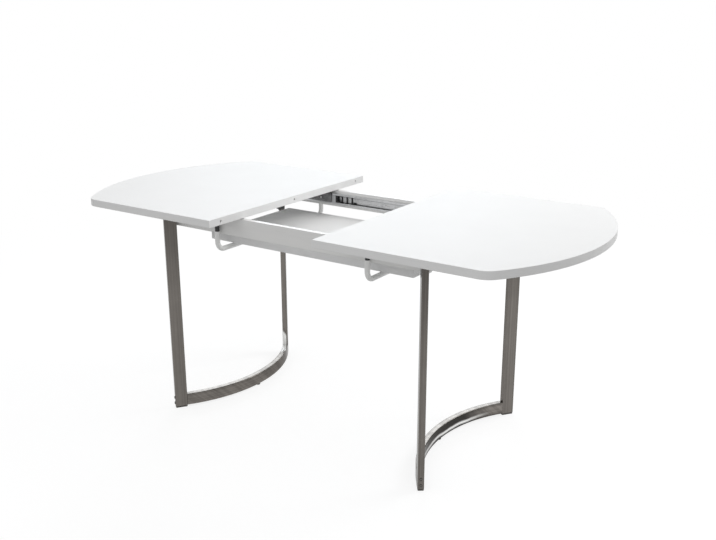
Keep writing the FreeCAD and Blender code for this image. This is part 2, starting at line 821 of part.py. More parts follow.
right_board, right_pin = leaf_board()
save("right_leaf_board", right_board)
save("right_leaf_pin", right_pin)
left_shift = -along * (board_length + leaf_stored_gap)
save("left_leaf_board", right_board.translated(left_shift))
save("left_leaf_pin", right_pin.translated(left_shift))
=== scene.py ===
# %% [markdown]
# # A dining table that pulls apart
# The table has a white top in two halves, which roll apart on ball-bearing slides.
# Each half stands on its own frame of flat steel tube with an arched bar at the floor.
# Two leaf boards lie on tube hangers below the gap until they are needed.
# The solids of all these pieces are loaded first, and they never move.
# The lesson gives them their finishes, and models the fittings that need finer shapes.

# %% The frame
import json
import math
import bmesh
import bpy
import numpy as np
from mathutils import Matrix, Vector


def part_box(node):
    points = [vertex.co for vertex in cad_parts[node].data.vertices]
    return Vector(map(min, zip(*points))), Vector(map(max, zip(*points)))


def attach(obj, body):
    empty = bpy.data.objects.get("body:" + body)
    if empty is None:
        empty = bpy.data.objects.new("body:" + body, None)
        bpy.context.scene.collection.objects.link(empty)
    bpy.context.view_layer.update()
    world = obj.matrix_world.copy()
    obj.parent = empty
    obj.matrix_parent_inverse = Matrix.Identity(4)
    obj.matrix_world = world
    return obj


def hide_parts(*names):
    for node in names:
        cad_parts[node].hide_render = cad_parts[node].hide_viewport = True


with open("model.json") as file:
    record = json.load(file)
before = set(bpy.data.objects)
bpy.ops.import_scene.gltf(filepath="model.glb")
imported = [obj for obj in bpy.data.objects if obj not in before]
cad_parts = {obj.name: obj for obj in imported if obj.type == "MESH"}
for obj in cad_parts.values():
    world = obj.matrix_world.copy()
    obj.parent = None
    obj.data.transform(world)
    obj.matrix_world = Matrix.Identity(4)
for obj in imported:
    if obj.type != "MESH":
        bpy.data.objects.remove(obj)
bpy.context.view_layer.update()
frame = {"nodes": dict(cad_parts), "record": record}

nodes = frame["nodes"]
slot_of = {part["node"]: part["material_slot"] for part in frame["record"]["subparts"]}
bodies = frame["record"]["behaviour"]["bodies"]
body_of = {node: body for body, members in bodies.items() for node in members}
MM = 0.001
print("pieces in the frame:", len(nodes))

# %% [markdown]
# ## Camera
# The photograph was taken from the front right, a little above the table.
# A camera is an object like any other: it gets a place, and a rotation built from the way it looks.
# The heading is measured from +Y, the dip below the horizon, and the roll is too small to see by eye.

# %% Camera
PHOTO_WIDTH = 716
FOCAL_PIXELS = 901.23
SENSOR_WIDTH = 36
CAMERA_PLACE = Vector((1.67854, -2.37543, 1.41945))
HEADING, DIP, ROLL = math.radians(34.148), math.radians(17.214), math.radians(-0.053)

bpy.ops.object.camera_add(location=CAMERA_PLACE)
camera = bpy.context.object
camera.data.sensor_width = SENSOR_WIDTH
camera.data.lens = FOCAL_PIXELS * SENSOR_WIDTH / PHOTO_WIDTH
turn_up = Matrix.Rotation(math.pi / 2 - DIP, 4, "X")
turned = Matrix.Rotation(HEADING, 4, "Z") @ turn_up @ Matrix.Rotation(ROLL, 4, "Z")
camera.rotation_euler = turned.to_euler()
bpy.context.scene.camera = camera
print("lens in mm:", round(camera.data.lens, 2))

# %% [markdown]
# ## Node helpers
# Every finish below is a small network of shader nodes.
# One helper makes a node, sets its properties and fills its inputs.
# A plain value is typed in, and another node's socket is linked.
# With it a network reads from top to bottom, one line for each node.
# Most of a noise pattern lies between its low and its high value, so patterns are spread from there.

# %% Node helpers
NOISE_LOW, NOISE_MIDDLE, NOISE_HIGH = 0.3, 0.5, 0.7
NOISE_ROUGHNESS = 0.5


def add(tree, kind, values=None, **properties):
    """New node in a tree. values maps an input's name or number to a value or to another node's output."""
    made = tree.nodes.new(kind)
    for name, value in properties.items():
        setattr(made, name, value)
    for socket, value in (values or {}).items():
        if isinstance(value, bpy.types.NodeSocket):
            tree.links.new(value, made.inputs[socket])
        else:
            made.inputs[socket].default_value = value
    return made


def maths(tree, operation, *values):
    return add(tree, "ShaderNodeMath", dict(enumerate(values)), operation=operation).outputs[0]


def vector_maths(tree, operation, first, second):
    return add(tree, "ShaderNodeVectorMath", {0: first, 1: second}, operation=operation).outputs[0]


def reach_along(tree, vector, direction):
    """How far a vector reaches in a direction."""
    values = {0: vector, 1: direction}
    return add(tree, "ShaderNodeVectorMath", values, operation="DOT_PRODUCT").outputs["Value"]


def length_of(tree, vector):
    return add(tree, "ShaderNodeVectorMath", {0: vector}, operation="LENGTH").outputs["Value"]


def split(tree, vector):
    return add(tree, "ShaderNodeSeparateXYZ", {0: vector}).outputs


def object_coordinates(tree):
    return add(tree, "ShaderNodeTexCoord").outputs["Object"]


def surface_normal(tree):
    return add(tree, "ShaderNodeNewGeometry").outputs["Normal"]


def remap(tree, value, low, high, new_low, new_high):
    values = {"Value": value, "From Min": low, "From Max": high, "To Min": new_low, "To Max": new_high}
    return add(tree, "ShaderNodeMapRange", values).outputs["Result"]


def noise(tree, place, per_metre, detail, roughness=NOISE_ROUGHNESS):
    """Cloudy pattern over a surface."""
    values = {"Vector": place, "Scale": per_metre, "Detail": detail, "Roughness": roughness}
    return add(tree, "ShaderNodeTexNoise", values).outputs["Fac"]


def noise_along(tree, value, scale, detail):
    """Cloudy pattern that changes along one value alone."""
    values = {"W": value, "Scale": scale, "Detail": detail}
    return add(tree, "ShaderNodeTexNoise", values, noise_dimensions="1D").outputs["Fac"]


def spread(tree, pattern, least, most):
    """Values from least to most that follow a noise pattern."""
    return remap(tree, pattern, NOISE_LOW, NOISE_HIGH, least, most)


def mix_colours(tree, factor, first, second, blend="MIX"):
    values = {"Factor": factor, 6: first, 7: second}
    return add(tree, "ShaderNodeMix", values, data_type="RGBA", blend_type=blend).outputs[2]


def shaded(tree, colour, shade):
    """Colour made lighter or darker by a shade."""
    return mix_colours(tree, 1, colour, shade, "MULTIPLY")


def grey(level):
    return (level, level, level, 1)


print("helpers from", add.__name__, "to", grey.__name__)

# %% [markdown]
# ## Studio
# A white product photograph has light from all around, a large soft lamp above, and a pale floor.
# The floor and the world look white to the camera and in reflections, through the Light Path node.
# Everything else is lit by their real, lower level, so white surfaces keep their shading.
# The floor adds its own diffuse light to a white glow, so the table's shadow stays on it.
# It is see-through from below, so the underside of the table can be looked at.

# %% Studio world
WORLD_LEVEL = 0.50
BACKGROUND_LEVEL = 1.0

scene = bpy.context.scene
scene.view_settings.view_transform = "Standard"
world = bpy.data.worlds.new("studio")
scene.world = world
world.use_nodes = True


def seen_directly(tree):
    """1 on rays from the camera, off a mirror or through glass, 0 on those that light dull surfaces."""
    path = add(tree, "ShaderNodeLightPath").outputs
    glossy = maths(tree, "MAXIMUM", path["Is Camera Ray"], path["Is Glossy Ray"])
    return maths(tree, "MAXIMUM", glossy, path["Is Transmission Ray"])


background = world.node_tree.nodes["Background"]
background.inputs["Color"].default_value = grey(1)
seen = seen_directly(world.node_tree)
world_strength = remap(world.node_tree, seen, 0, 1, WORLD_LEVEL, BACKGROUND_LEVEL)
world.node_tree.links.new(world_strength, background.inputs["Strength"])
print("world level on dull surfaces:", WORLD_LEVEL)

# %% Studio floor
FLOOR_RADIUS, FLOOR_SIDES = 9.0, 96
FLOOR_RIM = 1.5
FLOOR_GLOW = 0.80
FLOOR_SHADE = 0.28
FLOOR_BOUNCE = 0.52
SHADE_FADES_FROM, SHADE_FADES_TO = 1.3, 3.2

bpy.ops.object.select_all(action="DESELECT")
bpy.ops.mesh.primitive_circle_add(vertices=FLOOR_SIDES, radius=FLOOR_RADIUS, fill_type="NGON")
floor = bpy.context.object
floor.name = "studio_floor"
bpy.ops.object.mode_set(mode="EDIT")
bpy.ops.mesh.select_all(action="SELECT")
bpy.ops.mesh.inset(thickness=FLOOR_RIM)
bpy.ops.object.mode_set(mode="OBJECT")

floor_paint = bpy.data.materials.new("studio floor")
floor_paint.use_nodes = True
tree = floor_paint.node_tree
tree.nodes.clear()
out = length_of(tree, object_coordinates(tree))
shade_level = remap(tree, out, SHADE_FADES_FROM, SHADE_FADES_TO, FLOOR_SHADE, 0)
glow_level = remap(tree, out, SHADE_FADES_FROM, SHADE_FADES_TO, FLOOR_GLOW, BACKGROUND_LEVEL)
shade = add(tree, "ShaderNodeBsdfDiffuse", {"Color": shade_level}).outputs[0]
glow = add(tree, "ShaderNodeEmission", {"Color": grey(1), "Strength": glow_level}).outputs[0]
shown = add(tree, "ShaderNodeAddShader", {0: shade, 1: glow}).outputs[0]
bounce = add(tree, "ShaderNodeBsdfDiffuse", {"Color": grey(FLOOR_BOUNCE)}).outputs[0]
upper_side = add(tree, "ShaderNodeMixShader", {0: seen_directly(tree), 1: bounce, 2: shown}).outputs[0]
from_below = add(tree, "ShaderNodeNewGeometry").outputs["Backfacing"]
see_through = add(tree, "ShaderNodeBsdfTransparent").outputs[0]
surface = add(tree, "ShaderNodeMixShader", {0: from_below, 1: upper_side, 2: see_through}).outputs[0]
add(tree, "ShaderNodeOutputMaterial", {"Surface": surface})
floor.data.materials.append(floor_paint)
print("floor across:", 2 * FLOOR_RADIUS, "m")

# %% [markdown]
# ## Lamps
# The main light comes from the back right, like a window, and shines through the gap onto the leaf.
# A lamp above evens out the tops, which stay the brightest surfaces, and a weak one fills the front edges.
# A wide panel behind the table shows as the bright line on top of each steel bar.
# Each row below gives a lamp's place, what it aims at, its size, its power and its colour.

# %% Lamps
PLAIN_WHITE = (1.0, 1.0, 1.0)
COOL_WHITE = (0.86, 0.93, 1.0)
SOFTBOXES = {
    "window_softbox": ((1.9, 2.4, 2.7), (0.1, 0.0, 0.72), (1.6, 1.6), 48, PLAIN_WHITE),
    "top_softbox": ((-0.5, -0.6, 3.4), (-0.4, 0.0, 0.7), (2.6, 2.2), 15, PLAIN_WHITE),
    "front_fill": ((0.8, -4.2, 1.5), (0.0, 0.0, 0.7), (2.6, 1.6), 13, PLAIN_WHITE),
    "back_panel": ((-4.6, 6.55, 3.95), (0.0, 0.0, 0.05), (4.4, 1.7), 132, COOL_WHITE),
}

for name, (place, aim, across, watts, colour) in SOFTBOXES.items():
    bpy.ops.object.light_add(type="AREA", location=place)
    lamp = bpy.context.object
    lamp.name = name
    lamp.data.shape = "RECTANGLE"
    lamp.data.size, lamp.data.size_y = across
    lamp.data.energy = watts
    lamp.data.color = colour
    lamp.rotation_euler = (Vector(aim) - Vector(place)).to_track_quat("-Z", "Y").to_euler()
    print(name, "gives", watts, "W")

# %% [markdown]
# ## Shared effects
# Some marks of real materials, and one painted shade, come back on many finishes, so each is built once as a
# node group.
# Brushed lines are noise squeezed along one direction, with broader sets for a belt's uneven pressure.
# Rubbed edges compare the true normal with one rounded over a small radius: they differ only near an edge.
# Mottle is the slow change of tone that no real coat is without, and dust settles on what faces up.
# Painted shade darkens a surface where it is closed in by others.

# %% Shared effects
VALUE, VECTOR = "NodeSocketFloat", "NodeSocketVector"
BRUSH_PER_METRE = {"Lines": 1500, "Belts": 190, "Bands": 42}
BRUSH_DETAIL = {"Lines": 3, "Belts": 2, "Bands": 1}
BRUSH_ROUGHNESS = {"Lines": 0.6, "Belts": 0.5, "Bands": 0.4}
CLOUD_DETAIL, CLOUD_ROUGHNESS = 4, 0.55
ALIKE_NEAR_EDGE = (0.99, 0.85)
BEVEL_SAMPLES, RECESS_SAMPLES = 6, 8
WORN_DETAIL, WORN_FROM, WORN_TO = 3, 0.42, 0.62
SPECKS_PER_METRE, SPECK_DETAIL, SPECK_ROUGHNESS = 260, 6, 0.75
SPECKS_FROM, SPECKS_TO = 0.45, 0.8
DUST_LIES_FROM = 0.6


def new_group(name, inputs, outputs):
    """Empty node group. Returns its tree, the values it is given and the results it puts out."""
    group = bpy.data.node_groups.new(name, "ShaderNodeTree")
    for socket, kind in inputs.items():
        group.interface.new_socket(socket, in_out="INPUT", socket_type=kind)
    for socket in outputs:
        group.interface.new_socket(socket, in_out="OUTPUT", socket_type="NodeSocketFloat")
    return group, group.nodes.new("NodeGroupInput").outputs, group.nodes.new("NodeGroupOutput").inputs


brush_group, given, result = new_group("brush lines", {"Stretched": VECTOR}, BRUSH_PER_METRE)
for mark, per_metre in BRUSH_PER_METRE.items():
    pattern = noise(brush_group, given["Stretched"], per_metre, BRUSH_DETAIL[mark], BRUSH_ROUGHNESS[mark])
    brush_group.links.new(pattern, result[mark])

mottle_inputs = {"Vector": VECTOR, "Scale": VALUE, "Contrast": VALUE}
mottle_group, given, result = new_group("mottle", mottle_inputs, ("Shade",))
clouds = noise(mottle_group, given["Vector"], given["Scale"], CLOUD_DETAIL, CLOUD_ROUGHNESS)
centred = maths(mottle_group, "SUBTRACT", clouds, NOISE_MIDDLE)
swing = maths(mottle_group, "MULTIPLY", centred, given["Contrast"])
mottle_group.links.new(maths(mottle_group, "ADD", swing, 1), result["Shade"])

rub_inputs = {"Vector": VECTOR, "Reach": VALUE, "Breakup": VALUE}
rub_group, given, result = new_group("rubbed edges", rub_inputs, ("Mask",))
rounded = add(rub_group, "ShaderNodeBevel", {"Radius": given["Reach"]}, samples=BEVEL_SAMPLES).outputs[0]
alike = reach_along(rub_group, rounded, surface_normal(rub_group))
near_edge = remap(rub_group, alike, *ALIKE_NEAR_EDGE, 0, 1)
patches = noise(rub_group, given["Vector"], given["Breakup"], WORN_DETAIL)
worn = remap(rub_group, patches, WORN_FROM, WORN_TO, 0, 1)
rub_group.links.new(maths(rub_group, "MULTIPLY", near_edge, worn), result["Mask"])

recess_shade_inputs = {"Reach": VALUE, "Closed": VALUE, "Open": VALUE, "Darkest": VALUE}
# Painted shade: ambient occlusion darkens what is closed in by other surfaces.
recess_shade_group, given, result = new_group("painted shade in recesses", recess_shade_inputs, ("Shade",))
recess = add(recess_shade_group, "ShaderNodeAmbientOcclusion", {"Distance": given["Reach"]}, samples=RECESS_SAMPLES)
painted_recess_shade = remap(recess_shade_group, recess.outputs["AO"], given["Closed"], given["Open"], given["Darkest"], 1)
recess_shade_group.links.new(painted_recess_shade, result["Shade"])

dust_group, given, result = new_group("settled dust", {"Vector": VECTOR, "Amount": VALUE}, ("Mask",))
upward = split(dust_group, surface_normal(dust_group))["Z"]
specks = noise(dust_group, given["Vector"], SPECKS_PER_METRE, SPECK_DETAIL, SPECK_ROUGHNESS)
drift = remap(dust_group, specks, SPECKS_FROM, SPECKS_TO, 0, 1)
lying = maths(dust_group, "MULTIPLY", drift, remap(dust_group, upward, DUST_LIES_FROM, 1, 0, 1))
dust_group.links.new(maths(dust_group, "MULTIPLY", lying, given["Amount"]), result["Mask"])


def use_group(tree, group, **values):
    """Place a group in a material with its own values."""
    return add(tree, "ShaderNodeGroup", values, node_tree=group).outputs


print("effects:", [group.name for group in bpy.data.node_groups])

# %% [markdown]
# ## Starting a finish
# Each finish starts as one Principled shader with its constant values typed on the shader's own sockets.
# What changes over the surface is linked to it afterwards: colour, roughness and the bump.

# %% Starting a finish
finishes = {}


def new_finish(name, **constants):
    """Material with a Principled shader. Returns the material, its tree and the shader."""
    finish = bpy.data.materials.new(name)
    finish.use_nodes = True
    shader = finish.node_tree.nodes["Principled BSDF"]
    for socket, value in constants.items():
        shader.inputs[socket.replace("_", " ")].default_value = value
    return finish, finish.node_tree, shader


def link_surface(tree, shader, colour, roughness, height, bump_strength, bump_depth):
    """Link a finish's varying colour, roughness and bump to its shader."""
    bump = add(tree, "ShaderNodeBump", {"Height": height, "Strength": bump_strength, "Distance": bump_depth})
    tree.links.new(colour, shader.inputs["Base Color"])
    tree.links.new(roughness, shader.inputs["Roughness"])
    tree.links.new(bump.outputs["Normal"], shader.inputs["Normal"])


print("finishes so far:", len(finishes))

# %% [markdown]
# ## White laminate
# The tops and the leaf boards are chipboard faced with white melamine.
# A strip of plastic edging runs round the side.
# The face has a fine pearl texture that breaks up reflections, and the slow mottle of pressed paper.
# The edging is a shade duller, with a hairline glue joint near the upper and the lower edge.
# The straight edges that meet in the middle are painted a brighter white, as painted light for the light
# they catch across the gap.
# The normal tells face from edge, and the height of the piece gives the place of the joints.

# %% White laminate
LAMINATE_WHITE = (0.920, 0.921, 0.917, 1)
EDGING_WHITE = (0.880, 0.880, 0.876, 1)
MEETING_EDGE_PAINTED_LIGHT = (0.955, 0.955, 0.950, 1)
JOINT_GREY = (0.62, 0.61, 0.59, 1)
PAINTED_LIGHT_REACH = 0.8 * MM
FACING_THICKNESS = 0.9 * MM
JOINT_HALF_WIDTH = 0.14 * MM
EDGE_FACING = 0.5
LAMINATE_SHINE, LAMINATE_ROUGHNESS = 0.15, 0.50
LAMINATE_CLOUDS = {"Scale": 7, "Contrast": 0.035}
LAMINATE_WIPES = {"Scale": 16, "Contrast": 0.30}
LAMINATE_DUST, DUST_ON_LAMINATE = 0.035, grey(0.55)
PEARL_PER_METRE, PEARL_DETAIL = 1700, 2
PEARL_STRENGTH, PEARL_DEPTH = 0.12, 0.2 * MM


def white_laminate(name, low, high, inner_x):
    """Laminate on a board that lies between two heights, with painted light on its edge at inner_x from the
    middle.
    """
    finish, tree, shader = new_finish(name, Specular_IOR_Level=LAMINATE_SHINE)
    place = object_coordinates(tree)
    point = split(tree, place)
    facing = maths(tree, "ABSOLUTE", split(tree, surface_normal(tree))["Z"])
    on_edge = maths(tree, "LESS_THAN", facing, EDGE_FACING)
    upper = maths(tree, "COMPARE", point["Z"], high - FACING_THICKNESS, JOINT_HALF_WIDTH)
    lower = maths(tree, "COMPARE", point["Z"], low + FACING_THICKNESS, JOINT_HALF_WIDTH)
    joint = maths(tree, "MULTIPLY", maths(tree, "ADD", upper, lower), on_edge)
    mottle = use_group(tree, mottle_group, Vector=place, **LAMINATE_CLOUDS)["Shade"]
    face = shaded(tree, LAMINATE_WHITE, mottle)
    from_middle = maths(tree, "ABSOLUTE", point["X"])
    # Painted light: the edge where the halves meet is painted brighter than the other edging.
    painted_light_edge = maths(tree, "COMPARE", from_middle, inner_x, PAINTED_LIGHT_REACH)
    edging_and_painted_light = mix_colours(tree, painted_light_edge, EDGING_WHITE, MEETING_EDGE_PAINTED_LIGHT)
    coated = mix_colours(tree, on_edge, face, edging_and_painted_light)
    dust = use_group(tree, dust_group, Vector=place, Amount=LAMINATE_DUST)["Mask"]
    dusty = mix_colours(tree, dust, coated, DUST_ON_LAMINATE)
    colour = mix_colours(tree, joint, dusty, JOINT_GREY)
    pearl = noise(tree, place, PEARL_PER_METRE, PEARL_DETAIL)
    wiped = use_group(tree, mottle_group, Vector=place, **LAMINATE_WIPES)["Shade"]
    roughness = maths(tree, "MULTIPLY", wiped, LAMINATE_ROUGHNESS)
    link_surface(tree, shader, colour, roughness, pearl, PEARL_STRENGTH, PEARL_DEPTH)
    return finish


for kind in ("top", "leaf_board"):
    low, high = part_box(f"left_{kind}")
    laminate = white_laminate("white laminate " + kind, low[2], high[2], -high[0])
    finishes[f"left_{kind}"] = laminate
    finishes[f"right_{kind}"] = laminate
    print("laminate from", round(low[2], 4), "to", round(high[2], 4), "m on each", kind)

# %% [markdown]
# ## White lacquer
# The rails are softwood under white lacquer, sprayed and rubbed down.
# The grain still shows as long shallow waves, so the bump is noise stretched along the rail.

# %% White lacquer
LACQUER_WHITE = (0.865, 0.862, 0.85, 1)
LACQUER_RUBBED = (0.78, 0.75, 0.69, 1)
LACQUER_SHINE, LACQUER_ROUGHNESS = 0.4, (0.26, 0.40)
ALONG_RAIL = (0.03, 1.0, 1.0)
GRAIN_PER_METRE, GRAIN_DETAIL, GRAIN_ROUGHNESS = 420, 5, 0.6
GRAIN_STRENGTH, GRAIN_DEPTH = 0.15, 0.3 * MM
LACQUER_CLOUDS = {"Scale": 60, "Contrast": 0.06}
LACQUER_RUBS = {"Reach": 1.2 * MM, "Breakup": 45}
LACQUER_RUB_SHARE = 0.35


def white_lacquer():
    finish, tree, shader = new_finish("white lacquer", Specular_IOR_Level=LACQUER_SHINE)
    place = object_coordinates(tree)
    along_rail = vector_maths(tree, "MULTIPLY", place, ALONG_RAIL)
    grain = noise(tree, along_rail, GRAIN_PER_METRE, GRAIN_DETAIL, GRAIN_ROUGHNESS)
    mottle = use_group(tree, mottle_group, Vector=along_rail, **LACQUER_CLOUDS)["Shade"]
    coat = shaded(tree, LACQUER_WHITE, mottle)
    edge = use_group(tree, rub_group, Vector=place, **LACQUER_RUBS)["Mask"]
    colour = mix_colours(tree, maths(tree, "MULTIPLY", edge, LACQUER_RUB_SHARE), coat, LACQUER_RUBBED)
    roughness = spread(tree, grain, *LACQUER_ROUGHNESS)
    link_surface(tree, shader, colour, roughness, grain, GRAIN_STRENGTH, GRAIN_DEPTH)
    return finish


finishes["white_lacquer"] = white_lacquer()
print("made", finishes["white_lacquer"].name)

# %% [markdown]
# ## Polished steel tube
# The leg frames are flat tube, ground along its length on a belt and polished until it nearly mirrors.
# The belt leaves fine lines: upright on the legs, and following the arc on the base bars.
# For an arc the place is first turned into an angle and a radius about the arc's centre.
# The lines change the roughness and tilt the normal a little, which draws the reflections out across them.
# What else was done to a piece, and the light and shade painted on it, is a function of its own, which
# changes the colour and may dull the polish.

# %% Polished steel tube
STEEL_LIGHT = (0.182, 0.168, 0.155, 1)
STEEL_DARK = (0.118, 0.108, 0.098, 1)
STEEL_GRAZING = (0.62, 0.615, 0.61, 1)
STEEL_RUBBED = (0.42, 0.41, 0.40, 1)
STEEL_ROUGHNESS = (0.13, 0.22)
STEEL_TONE_FROM, STEEL_TONE_TO = 0.35, 0.65
STEEL_CLOUDS_PER_METRE = 16
STEEL_RUBS = {"Reach": 1.0 * MM, "Breakup": 70}
STEEL_RUB_SHARE, LINES_SHARE, BELTS_SHARE = 0.4, 0.5, 0.5
LINE_STRETCH, LINE_STRENGTH, LINE_DEPTH = 0.006, 0.10, 0.05 * MM


def polished_tube(name, stretched_from, band_contrast, patchiness, recolour):
    """Steel tube with lines in the direction that stretched_from squeezes, in bands, with the colour changes
    and painted light that recolour gives.
    """
    finish, tree, shader = new_finish(name, Metallic=1.0, Specular_Tint=STEEL_GRAZING)
    place = object_coordinates(tree)
    brushed = use_group(tree, brush_group, Stretched=stretched_from(tree, place))
    lines = maths(tree, "MULTIPLY", brushed["Lines"], LINES_SHARE)
    tone = maths(tree, "ADD", lines, maths(tree, "MULTIPLY", brushed["Belts"], BELTS_SHARE))
    tone_share = remap(tree, tone, STEEL_TONE_FROM, STEEL_TONE_TO, 0, 1)
    steel = mix_colours(tree, tone_share, STEEL_DARK, STEEL_LIGHT)
    off_band = maths(tree, "SUBTRACT", brushed["Bands"], NOISE_MIDDLE)
    bands = maths(tree, "ADD", maths(tree, "MULTIPLY", off_band, band_contrast), 1)
    clouds = {"Scale": STEEL_CLOUDS_PER_METRE, "Contrast": patchiness}
    mottle = use_group(tree, mottle_group, Vector=place, **clouds)["Shade"]
    ground = shaded(tree, shaded(tree, steel, bands), mottle)
    recoloured, dulled = recolour(tree, place, ground, brushed["Lines"])
    edge = use_group(tree, rub_group, Vector=place, **STEEL_RUBS)["Mask"]
    colour = mix_colours(tree, maths(tree, "MULTIPLY", edge, STEEL_RUB_SHARE), recoloured, STEEL_RUBBED)
    polish = maths(tree, "MULTIPLY", spread(tree, brushed["Lines"], *STEEL_ROUGHNESS), mottle)
    roughness = maths(tree, "ADD", polish, dulled)
    link_surface(tree, shader, colour, roughness, brushed["Lines"], LINE_STRENGTH, LINE_DEPTH)
    return finish


def upright(tree, place):
    return vector_maths(tree, "MULTIPLY", place, (1, 1, LINE_STRETCH))


def angle_on_arc(tree, centred):
    """Angle of a place about an arc's centre, from the table's long middle line."""
    point = split(tree, centred)
    return maths(tree, "ARCTAN2", point["Y"], maths(tree, "ABSOLUTE", point["X"]))


def along_arc(centre_x, radius):
    """Coordinates that run along a base bar's arc, across it and up."""
    def stretched(tree, place):
        centred = vector_maths(tree, "SUBTRACT", place, (centre_x, 0, 0))
        along = maths(tree, "MULTIPLY", angle_on_arc(tree, centred), radius * LINE_STRETCH)
        out = length_of(tree, vector_maths(tree, "MULTIPLY", centred, (1, 1, 0)))
        height = split(tree, centred)["Z"]
        return add(tree, "ShaderNodeCombineXYZ", {"X": along, "Y": out, "Z": height}).outputs[0]
    return stretched


print("lines of the belt are drawn out", round(1 / LINE_STRETCH), "times")

# %% [markdown]
# ## What was done to the steel, and painted light on it
# On the hollow side of a bar runs a painted reflection: one bright streak along it, dark to either side.
# Where the belt was lifted and set down again, slanting stops change the tone of a bar.
# A leg carries painted shade: palest at its middle, a little darker at its foot and much darker towards its
# top.
# At the back left joint, the leg's foot and the bar's end carry a painted highlight, with a duller polish
# there.

# %% What was done to the steel, and painted light
LEG_TURN = math.radians(36)
UPWARD = (0, 0, 1)
LEG_BANDS, BAR_BANDS = 0.6, 2.0
LEG_PATCHES, BAR_PATCHES = 0.25, 0.7
PALES_FROM_FOOT_SHARES, DARKENS_TO_TOP_SHARES = (0.0, 0.4), (0.55, 1.0)
# Painted shade along a leg, as factors at its foot, its middle and its top.
FOOT_SHADE, MIDDLE_SHADE, TOP_SHADE = 1.06, 1.12, 0.56
HOLLOW_FACING, HALF = 0.3, 0.5
# Painted reflection on the hollow side of each bar: a bright streak between dark bands.
STREAK_PAINTED_BRIGHT = (0.86, 0.86, 0.85, 1)
STREAK_PAINTED_DARK = (0.045, 0.043, 0.040, 1)
STREAK_HEIGHT_SHARE, STREAK_WANDER_SHARE = -0.08, 0.24
STREAK_LINES_SHARE, STREAK_RIPPLE_SHARE = 0.04, 0.14
STREAK_EDGE_SHARES = (0.12, 0.26)
STREAK_FADES = (0.28, 0.52)
WANDERS_PER_RADIAN, RIPPLES_PER_HEIGHT, STOPS_PER_RADIAN, ALONG_BAR_DETAIL = 5, 14, 16, 2
STOP_SLANT, STOP_CONTRAST = 2.2, 0.10
STOP_FROM, STOP_TO = 0.47, 0.53
# Painted highlight at the back left joint, and how far it reaches.
HIGHLIGHT_PAINTED_STEEL = (0.78, 0.78, 0.77, 1)
HIGHLIGHT_HEIGHT, HIGHLIGHT_LENGTH = 52 * MM, 100 * MM
HIGHLIGHT_FADE, HIGHLIGHT_REACH = 12 * MM, 5 * MM
HIGHLIGHT_FACING = (0.8, 0.95)
HIGHLIGHT_SLANT, HIGHLIGHT_DULLING = 1.4, 0.35


def painted_hollow_reflection(centre_x, low, high):
    """Belt stops on a bar, and on its hollow side a painted reflection: one bright streak, dark to either
    side.
    """
    def recolour(tree, place, colour, lines):
        centred = vector_maths(tree, "SUBTRACT", place, (centre_x, 0, 0))
        height = split(tree, centred)["Z"]
        angle = angle_on_arc(tree, centred)
        hollow = maths(tree, "LESS_THAN", reach_along(tree, surface_normal(tree), centred), -HOLLOW_FACING)
        streak_reach = maths(tree, "MULTIPLY", hollow, remap(tree, angle, *STREAK_FADES, 1, 0))
        height_share = remap(tree, height, low, high, -HALF, HALF)
        wander = noise_along(tree, angle, WANDERS_PER_RADIAN, ALONG_BAR_DETAIL)
        above = maths(tree, "SUBTRACT", height_share, STREAK_HEIGHT_SHARE)
        off_streak = maths(tree, "ADD", above, maths(tree, "MULTIPLY", wander, STREAK_WANDER_SHARE))
        streak_ripples = noise_along(tree, height_share, RIPPLES_PER_HEIGHT, ALONG_BAR_DETAIL)
        fringe = maths(tree, "MULTIPLY", streak_ripples, STREAK_RIPPLE_SHARE)
        uneven = maths(tree, "ADD", maths(tree, "MULTIPLY", lines, STREAK_LINES_SHARE), fringe)
        off_bright = maths(tree, "ADD", maths(tree, "ABSOLUTE", off_streak), uneven)
        bright = remap(tree, off_bright, *STREAK_EDGE_SHARES, 1, 0)
        streak_colour = mix_colours(tree, bright, STREAK_PAINTED_DARK, STREAK_PAINTED_BRIGHT)
        slanted = maths(tree, "ADD", angle, maths(tree, "MULTIPLY", height, STOP_SLANT))
        lifts = noise_along(tree, slanted, STOPS_PER_RADIAN, ALONG_BAR_DETAIL)
        stops = remap(tree, lifts, STOP_FROM, STOP_TO, 1 - STOP_CONTRAST, 1 + STOP_CONTRAST)
        return mix_colours(tree, streak_reach, shaded(tree, colour, stops), streak_colour), 0
    return recolour


def painted_leg_shade(low, high):
    """Painted shade along an upright tube: palest at the middle, darker to the ends."""
    def recolour(tree, place, colour, lines):
        share = remap(tree, split(tree, place)["Z"], low, high, 0, 1)
        from_foot = remap(tree, share, *PALES_FROM_FOOT_SHARES, FOOT_SHADE, MIDDLE_SHADE)
        to_top = remap(tree, share, *DARKENS_TO_TOP_SHARES, 1, TOP_SHADE)
        return shaded(tree, colour, maths(tree, "MULTIPLY", from_foot, to_top)), 0
    return recolour


def painted_joint_highlight(before, corner, limit, facing, across):
    """Painted highlight near one joint: the side that faces one way is painted bright, up to a limit, and
    its polish dulled.
    """
    def recolour(tree, place, colour, lines):
        colour, dulled = before(tree, place, colour, lines)
        from_corner = vector_maths(tree, "SUBTRACT", place, corner)
        short_of = remap(tree, reach_along(tree, from_corner, limit), -HIGHLIGHT_FADE, 0, 1, 0)
        faced = remap(tree, reach_along(tree, surface_normal(tree), facing), *HIGHLIGHT_FACING, 0, 1)
        within = maths(tree, "LESS_THAN", reach_along(tree, from_corner, across), HIGHLIGHT_REACH)
        share = maths(tree, "MULTIPLY", maths(tree, "MULTIPLY", short_of, faced), within)
        dulled = maths(tree, "ADD", dulled, maths(tree, "MULTIPLY", share, HIGHLIGHT_DULLING))
        return mix_colours(tree, share, colour, HIGHLIGHT_PAINTED_STEEL), dulled
    return recolour


